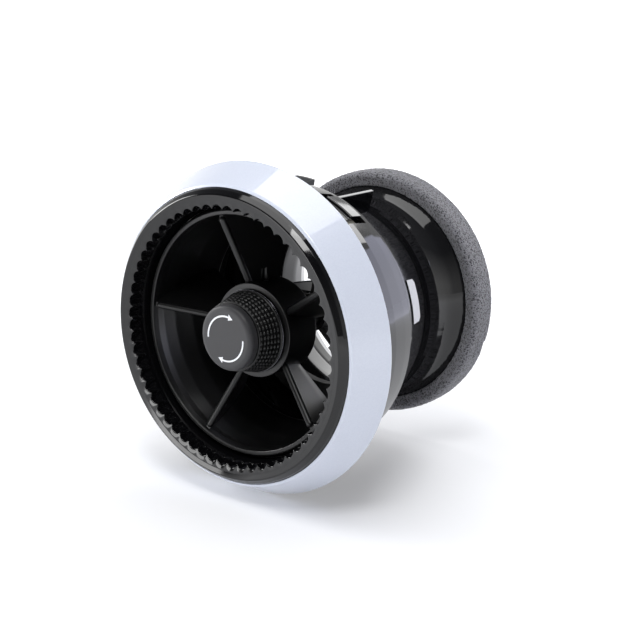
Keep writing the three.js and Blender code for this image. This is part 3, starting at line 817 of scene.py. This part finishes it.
def resampled(outline, spacing):
    """Points at an even spacing along a closed outline."""
    loop = [Vector(p) for p in outline] + [Vector(outline[0])]
    lengths = [0.0]
    for a, b in zip(loop, loop[1:]):
        lengths.append(lengths[-1] + (b - a).length)
    count = max(8, round(lengths[-1] / spacing))
    points = []
    k = 0
    for i in range(count):
        target = lengths[-1] * i / count
        while lengths[k + 1] < target:
            k += 1
        share = (target - lengths[k]) / (lengths[k + 1] - lengths[k])
        points.append(tuple(loop[k].lerp(loop[k + 1], share)))
    return points


def make_foam():
    """The foam strip, its cut faces roughened cell by cell, its two ends meeting in a butt joint."""
    section = resampled(rounded([
        (40.2, 82.6, 0.4), (44.6, 81.2, 1.4), (45.8, 82.6, 0.9), (46.1, 86.0, 2.0), (46.0, 91.4, 1.2),
        (44.8, 93.3, 0.8), (42.9, 93.3, 0.5), (41.6, 90.9, 0.2),
    ]), 0.62)
    centre = Vector((43.5, 87.0))
    columns = 470
    half_gap = 0.08            # degrees, half of the gap in the butt joint
    sinking = 0.9              # how far the last end of the strip lies below the first
    sinking_angle = 9.0
    largest_radius, largest_depth = 47.2, 94.2
    verts = []
    for column in range(columns + 1):
        turn = (360 - 2 * half_gap) * column / columns
        angle = math.radians(FOAM_JOINT_ANGLE + half_gap + turn)
        to_joint = 360 - 2 * half_gap - turn
        sunk = sinking * (1 - smooth_step(0.0, sinking_angle, to_joint))
        sag = 0.25 * math.sin(5 * angle) + 0.15 * math.sin(11 * angle + 1.0)
        for r, y in section:
            point = centre + (Vector((r, y)) - centre) * (1 - 0.02 * sunk)
            out = (point - centre).normalized()
            at = Vector((r * math.cos(angle), y, r * math.sin(angle)))
            grain = noise.noise(at / 0.9) + 0.6 * noise.noise(at / 0.45)
            point += out * (0.22 * grain - 0.1 + 0.3 * sag * max(0.0, out.x))
            radius = min(largest_radius, point.x - sunk * max(0.0, out.x))
            depth = min(largest_depth, point.y)
            verts.append((radius * math.cos(angle), depth, radius * math.sin(angle)))
    shape = (verts, grid_faces(columns + 1, len(section), False, True))
    piece = place(solid(shape), "foam_strip", FOAM, "housing", ["foam_seal"], crease=80)
    piece.modifiers.clear()
    return piece


# ------------------------------------------------------------------ nozzle


BARREL_INSIDE = [
    (36.9, 38.3, 0.3), (38.6, 33.0, 8.0), (40.4, 26.0, 10.0), (41.2, 18.0, 10.0), (41.0, 12.0, 6.0),
    (40.2, 8.6, 0.3), (40.15, 6.1, 0.4), (41.5, 6.05, 0.4), (42.0, 6.75, 0.4), (42.4, 8.3, 0.0),
]


def make_barrel():
    """The swivelling barrel: a ball outside, a slight belly inside and a rounded front ring."""
    first, last = 8.6, 38.2
    steps = 24
    depths = [first + (last - first) * i / steps for i in range(steps + 1)]
    ball = [(on_ball(depth), depth) for depth in depths]
    piece = solid(turned(ball + rounded(BARREL_INSIDE)[:-1]))
    return place(piece, "ball_barrel", SATIN_BLACK, "nozzle", ["nozzle_barrel"])


def spoke_depth(radius):
    """Depth of a spoke's centre line at a distance from the axis."""
    at_hub, at_barrel = 15.3, 7.2
    return at_hub + (at_barrel - at_hub) * (radius - HUB_RADIUS) / (40 - HUB_RADIUS)


def vane_rear(radius):
    """Depth of a vane's rear edge at a distance from the axis."""
    return HUB_REAR - 0.6 + 7 * (radius - HUB_RADIUS) / (38 - HUB_RADIUS)


def barrel_radius(depth):
    """The barrel's inner radius at a depth."""
    stops = [(7.3, 40.3), (12, 41), (18, 41.2), (26, 40.4), (33, 38.6), (38.4, 36.8)]
    for (y0, r0), (y1, r1) in zip(stops, stops[1:]):
        if depth <= y1:
            return r0 + (r1 - r0) * (depth - y0) / (y1 - y0)
    return stops[-1][1]


def vane_shape():
    """A blade that thins towards its rear edge, and turns about the axis as it runs back from its spoke."""
    across, along = 14, 14
    rings = []
    for i in range(across + 1):
        ring = []
        shares = [j / along for j in range(along + 1)]
        samples = [(share, 1) for share in shares] + [(share, -1) for share in reversed(shares)]
        for share, side in samples:
            inner = HUB_RADIUS - 0.8
            guess = spoke_depth(38) * (1 - share) + vane_rear(38) * share
            outer = barrel_radius(guess) - 0.5
            radius = inner + (outer - inner) * i / across
            depth = spoke_depth(radius) * (1 - share) + vane_rear(radius) * share
            thickness = VANE_THICKNESS * (1 - 0.45 * smooth_step(0.7, 1.0, share))
            angle = math.radians(VANE_TWIST * share) + side * thickness / 2 / radius
            ring.append((radius * math.cos(angle), depth, radius * math.sin(angle)))
        rings.append(ring)
    verts = [v for ring in rings for v in ring]
    return verts, grid_faces(across + 1, len(rings[0]), False, True)


def spoke_shape():
    """A round bar with a domed outer end."""
    inner, outer = HUB_RADIUS - 0.8, 39.55
    start = Vector((inner, spoke_depth(inner), 0))
    end = Vector((outer, spoke_depth(outer), 0))
    length = (end - start).length
    profile = [(0.0, 0.0), (SPOKE_RADIUS, 0.0), *arc((0.0, length - SPOKE_RADIUS), SPOKE_RADIUS, 0, 90, 6)]
    verts, faces = turned(profile, 32)
    turn = Vector((0, 1, 0)).rotation_difference(end - start)
    return [tuple(turn @ Vector(v) + start) for v in verts], faces


def make_vane_wheel():
    """The hub with its five spokes and vanes, bored for the knob's carrier and the upright pins."""
    bore = HUB_RADIUS - 1.9
    hub = solid(turned(rounded([
        (4.3, HUB_FRONT, 0.2),
        (HUB_RADIUS, HUB_FRONT, 0.3),
        (HUB_RADIUS, HUB_REAR, 0.35),
        (bore, HUB_REAR, 0.35),
        (bore, 14.0, 0.3),
        (4.3, 14.0, 0.2),
    ]), 128))
    limbs = []
    for i in range(SPOKES):
        angle = FIRST_SPOKE + 360 / SPOKES * i
        limbs.append(solid(swung(vane_shape(), angle)))
        limbs.append(solid(swung(spoke_shape(), angle)))
    body = combined(hub, "UNION", *limbs)
    core = solid(turned([(0.0, 14.0), (bore, 14.0), (bore, 40.0), (0.0, 40.0)], 128))
    pin = turned([(0, -20), (1.45, -20), (1.45, 20), (0, 20)], 32)
    pin_hole = solid(moved(upright(pin), (0, SWIVEL, 0)))
    body = combined(body, "DIFFERENCE", core, pin_hole)
    name = "hub_spokes_and_vanes"
    return place(body, name, SATIN_BLACK, "nozzle", ["vane_wheel"], crease=40)


# ------------------------------------------------------------------ knob


def make_knob_cap():
    """The flat grey cap with its rounded edge."""
    outline = rounded([
        (0.0, CAP_FRONT, 0), (9.6, CAP_FRONT, 2.5), (10.8, -0.3, 1.2),
        (11.2, 0.7, 0.8), (11.2, 2.6, 0.1), (0.0, 2.6, 0),
    ])
    return place(solid(turned(outline, 144)), "grey_cap", CAP_GREY, "knob", ["knob_cap"])


def make_knob_sleeve():
    """The sleeve: a thin front rim and a plain cone, studded with small domes in even rows."""
    around = 44
    rows = 6
    across_steps, along_steps = 9, 8
    height = 0.34
    dome = 0.36                # half of a dome's width, as a share of the pitch
    front = Vector((11.75, 3.0))
    rear = Vector((14.1, 11.5))
    out = Vector((rear.y - front.y, front.x - rear.x)).normalized()
    columns = around * across_steps
    first, last = 0.04, 0.96
    verts = []
    for column in range(columns):
        angle = math.radians(360 * column / columns)
        across = column % across_steps / across_steps - 0.5
        profile = [(10.3, 2.95), (11.45, 2.75), (11.75, 2.8), (11.85, 3.0)]
        for step in range(rows * along_steps + 1):
            along = step % along_steps / along_steps - 0.5
            reach = (across**2 + along**2) / dome**2
            stud = math.sqrt(1 - reach) if reach < 1 else 0.0
            share = first + (last - first) * step / (rows * along_steps)
            profile.append(tuple(front.lerp(rear, share) - out * height * (1 - stud)))
        profile += [tuple(rear), (13.9, 11.6), (12.8, 11.6)]
        verts += [(r * math.cos(angle), y, r * math.sin(angle)) for r, y in profile]
    count = len(verts) // columns
    piece = solid((verts, grid_faces(columns, count, True, False)))
    place(piece, "knurled_sleeve", KNURLED_TPE, "knob", ["knob_sleeve"], crease=60)
    piece.modifiers.clear()
    return piece


def make_base_ring():
    """The thin plated ring at the sleeve's base."""
    outline = rounded([(12.5, 11.8, 0.1), (14.3, 11.75, 0.25), (14.35, 12.4, 0.25), (12.5, 12.4, 0.1)])
    ring = solid(turned(outline, 144))
    return place(ring, "bright_base_ring", CHROME, "knob", ["knob_base_ring"])


def arrow_outline(start):
    """A curved arrow with a round tail, clockwise as seen from the front."""
    radius, half, sweep = 7.6, 0.29, 103.0
    head, barb = 1.9, 1.05
    steps = 36
    end = start - sweep
    points = []
    for i in range(steps + 1):
        angle = math.radians(start - sweep * i / steps)
        points.append(((radius + half) * math.cos(angle), (radius + half) * math.sin(angle)))
    tip = math.radians(end)
    out = Vector((math.cos(tip), math.sin(tip)))
    ahead = Vector((math.sin(tip), -math.cos(tip)))
    for distance, forward in ((radius + barb, 0.0), (radius - 0.25, head), (radius - barb, 0.0)):
        points.append(tuple(out * distance + ahead * forward))
    for i in range(steps + 1):
        angle = math.radians(end + sweep * i / steps)
        points.append(((radius - half) * math.cos(angle), (radius - half) * math.sin(angle)))
    tail = math.radians(start)
    centre = Vector((math.cos(tail), math.sin(tail))) * radius
    for i in range(1, 8):
        angle = tail + math.pi - math.pi * i / 8
        points.append((centre.x + half * math.cos(angle), centre.y + half * math.sin(angle)))
    return points


def make_arrows():
    """The two printed turn arrows."""
    for name, node, start in (("arrow_1", "turn_arrow_upper", 182.0), ("arrow_2", "turn_arrow_lower", 2.0)):
        piece = solid(prism(arrow_outline(start), CAP_FRONT - INK_HEIGHT, CAP_FRONT))
        place(piece, name, INK, "knob", [node])


# ------------------------------------------------------------------ light, floor and camera


def make_floor():
    """A pale floor that glows evenly, but for a duller patch round the outlet: a painted shadow, where its
    real shadow also falls.
    """
    material, tree, at = new_material("pale_floor_with_painted_shadow")
    away = add_node(tree, "VectorMath", {0: at}, operation="LENGTH")
    # the glow is turned down near the outlet, a painted shadow under it
    glow_dimmed_as_painted_shadow = add_node(tree, "MapRange", {
        "Value": away.outputs["Value"], "From Min": 0.1, "From Max": 0.6, "To Min": 0.25, "To Max": 0.9,
    })
    shader = add_node(tree, "BsdfPrincipled", {
        "Base Color": linear("#D6D7DA"),
        "Roughness": 0.8,
        "Specular IOR Level": 0.1,
        "Emission Color": linear("#FFFFFF"),
        "Emission Strength": glow_dimmed_as_painted_shadow.outputs["Result"],
    })
    add_node(tree, "OutputMaterial", {"Surface": shader.outputs["BSDF"]})
    radius = 40000.0
    steps = 64
    angles = [2 * math.pi * i / steps for i in range(steps)]
    rim = [Vector((radius * math.cos(a), radius * math.sin(a), FLOOR)) * MM for a in angles]
    mesh = bpy.data.meshes.new("floor")
    mesh.from_pydata(rim, [], [tuple(range(steps))])
    mesh.materials.append(material)
    floor = bpy.data.objects.new("floor", mesh)
    scene.collection.objects.link(floor)


def make_world():
    """A pale studio: white walls behind the outlet, duller ones before it, dim grey overhead."""
    world = bpy.data.worlds.new("studio")
    scene.world = world
    world.use_nodes = True
    tree = world.node_tree
    tree.nodes.clear()
    direction = add_node(tree, "TexCoord").outputs["Generated"]
    parts = add_node(tree, "SeparateXYZ", {"Vector": direction})
    shade = add_node(tree, "ValToRGB", {"Fac": parts.outputs["Z"]})
    stops = shade.color_ramp.elements
    stops[0].position = 0.15
    stops[0].color = (1.0, 1.0, 1.0, 1.0)
    stops[1].position = 0.6
    stops[1].color = (0.2, 0.205, 0.22, 1.0)
    walls = add_node(tree, "MapRange", {
        "Value": parts.outputs["Y"], "From Min": -0.5, "From Max": 0.25, "To Min": 0.16, "To Max": 1.0,
    })
    background = add_node(tree, "Background", {
        "Color": shade.outputs["Color"],
        "Strength": walls.outputs["Result"],
    })
    add_node(tree, "OutputWorld", {"Surface": background.outputs["Background"]})


def make_softbox(name, azimuth, elevation, distance, width, height, power, colour="#FFFFFF"):
    """A soft light at a direction and distance from the outlet, facing it."""
    light = bpy.data.lights.new(name, "AREA")
    light.shape = "RECTANGLE"
    light.size = width * MM
    light.size_y = height * MM
    light.energy = power
    light.color = linear(colour)[:3]
    lamp = bpy.data.objects.new(name, light)
    scene.collection.objects.link(lamp)
    a, e = math.radians(azimuth), math.radians(elevation)
    away = Vector((math.sin(a) * math.cos(e), -math.cos(a) * math.cos(e), math.sin(e)))
    lamp.location = (Vector((0, 40, 0)) + away * distance) * MM
    lamp.rotation_mode = "QUATERNION"
    lamp.rotation_quaternion = (-away).to_track_quat("-Z", "Y")
    lamp.visible_camera = False


def make_camera():
    """A long lens to the right of the outlet and a little above it."""
    azimuth, elevation = math.radians(38.0), math.radians(14.595)
    distance, aside, above = 427.44, 30.57, 6.06
    back = Vector((
        math.sin(azimuth) * math.cos(elevation),
        -math.cos(azimuth) * math.cos(elevation),
        math.sin(elevation),
    ))
    right = Vector((math.cos(azimuth), math.sin(azimuth), 0))
    up = back.cross(right)
    data = bpy.data.cameras.new("camera")
    data.lens = 73.125
    data.sensor_width = 36.0
    data.clip_start = 0.01
    data.clip_end = 50.0
    camera = bpy.data.objects.new("camera", data)
    scene.collection.objects.link(camera)
    camera.location = (back * distance + right * aside + up * above) * MM
    camera.rotation_mode = "QUATERNION"
    camera.rotation_quaternion = Matrix((right, up, back)).transposed().to_quaternion()
    scene.camera = camera


# ------------------------------------------------------------------ the scene

make_camera()
make_trim_ring()
make_bezel()
make_fluted_ring()
make_ball_retainer()
make_housing()
make_retention_clips()
make_rear_socket()
make_duct()
make_label()
make_foam()
make_barrel()
make_vane_wheel()
make_knob_cap()
make_knob_sleeve()
make_base_ring()
make_arrows()

FRAME_FINISHES = {
    "valve_spider": MATT_BLACK,
    "fixed_yoke": BLACK_ACETAL,
    "hinge_rod": STEEL,
    "gimbal_ring": BRASS,
    "tilt_pin_right": STEEL,
    "tilt_pin_left": STEEL,
    "pan_pin_top": STEEL,
    "pan_pin_bottom": STEEL,
    "knob_bush": NATURAL_ACETAL,
    "knob_core": BLACK_ACETAL,
    "knob_spindle": STEEL,
    "drive_pin": STEEL,
    "drive_shaft": BLACK_ACETAL,
    "shaft_clip": STEEL,
    "bevel_pinion": NATURAL_ACETAL,
    "upper_flap": MATT_BLACK,
    "upper_flap_gear": NATURAL_ACETAL,
    "upper_flap_seal": LIP_RUBBER,
    "lower_flap": MATT_BLACK,
    "lower_flap_gear": NATURAL_ACETAL,
    "lower_flap_seal": LIP_RUBBER,
}
for node_name, finish in FRAME_FINISHES.items():
    node = frame["nodes"][node_name]
    node.data.materials.clear()
    node.data.materials.append(finish)

make_floor()
make_world()
make_softbox("key_above", 36, 56, 760, 250, 230, 2.0)
make_softbox("overhead", -10, 84, 800, 700, 700, 4.4)
make_softbox("small_left", -72, 20, 700, 240, 240, 2.2)
make_softbox("low_front", -24, 1, 620, 260, 170, 0.8)
make_softbox("right_back_panel", 160, 9, 620, 380, 360, 0.68, "#DADDFA")
make_softbox("top_back", 190, 38, 800, 500, 350, 2.0)

scene.view_settings.view_transform = "Standard"
